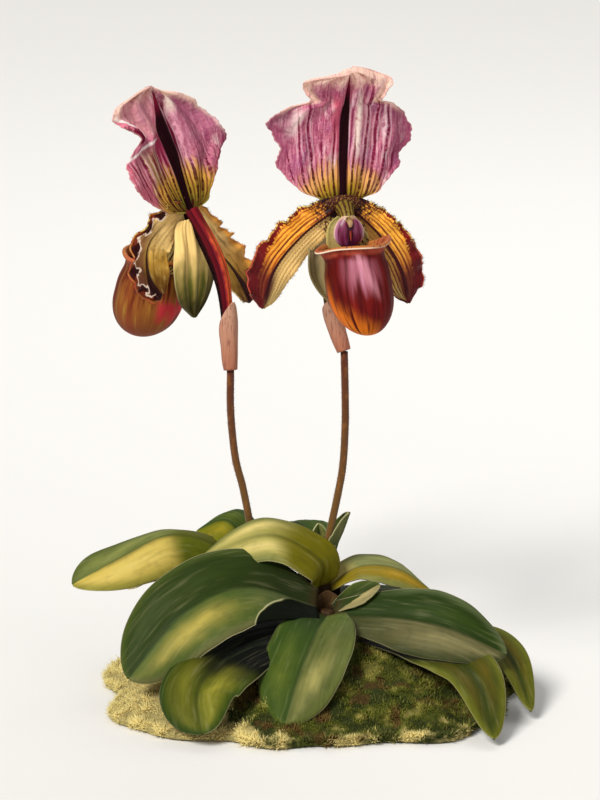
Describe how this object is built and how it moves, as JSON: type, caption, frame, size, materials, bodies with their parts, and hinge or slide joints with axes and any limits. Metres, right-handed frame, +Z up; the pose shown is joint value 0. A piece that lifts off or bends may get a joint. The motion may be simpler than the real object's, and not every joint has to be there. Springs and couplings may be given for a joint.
{
  "type": "slipper orchid plant",
  "caption": "Clump of a slipper orchid in a low moss mound: strap leaves, slender stalks, and pouched blooms with a tall striped sepal and drooping frilled petals.",
  "frame": {"origin": "middle of the flat underside of the moss mound", "axes": "+Z up along the stalks, -Y towards the side that the open bloom faces, +X to the right seen from there"},
  "size_m": [0.2099, 0.1593, 0.2908],
  "materials": {
    "leaf_green": "satin, deep green, mottled, paler along the margin",
    "leaf_olive": "satin, olive to yellow green",
    "leaf_pale": "satin, pale yellow green",
    "crown": "dull, reddish brown leaf bases",
    "moss": "tufted moss, olive to dark green with rusty patches",
    "scape": "dull, downy, maroon brown to ochre",
    "ovary": "downy, ribbed, dark maroon with a red ridge",
    "bract": "papery, pinkish brown",
    "dorsal_sepal": "waxy, purple pink with dark maroon veins, white margin and yellow base",
    "synsepal": "waxy, apricot to olive green, striped",
    "petal": "glossy, golden orange with maroon stripes and a frilled maroon margin",
    "pouch": "glossy, plum to maroon above, orange at the toe, pale rim",
    "column": "waxy, magenta purple shield with a paler edge"
  },
  "bodies": {
    "root": {"crown_left": "crown", "crown_right": "crown", "crown_front": "crown", "scape_left": "scape", "ovary_left": "ovary", "bract_left": "bract", "scape_right": "scape", "ovary_right": "ovary", "bract_right": "bract", "left_bloom_column": "column", "left_bloom_pouch": "pouch", "left_bloom_petal_left": "petal", "left_bloom_petal_right": "petal", "left_bloom_dorsal_sepal": "dorsal_sepal", "left_bloom_synsepal": "synsepal", "right_bloom_column": "column", "right_bloom_pouch": "pouch", "right_bloom_petal_left": "petal", "right_bloom_petal_right": "petal", "right_bloom_dorsal_sepal": "dorsal_sepal", "right_bloom_synsepal": "synsepal", "young_leaf_tall": "leaf_green", "young_leaf_short": "leaf_green", "leaf_back_upright": "leaf_green", "leaf_back_centre": "leaf_green", "leaf_inner_right": "leaf_green", "leaf_front_left": "leaf_green", "leaf_front_right": "leaf_green", "leaf_front_centre": "leaf_green", "leaf_lower_left": "leaf_green", "leaf_back_right": "leaf_green", "leaf_arching_top": "leaf_olive", "leaf_right_arch": "leaf_olive", "leaf_lower_right": "leaf_olive", "leaf_far_right": "leaf_olive", "leaf_far_left": "leaf_pale", "leaf_back_left": "leaf_pale", "moss_mound": "moss"}
  },
  "joints": []
}
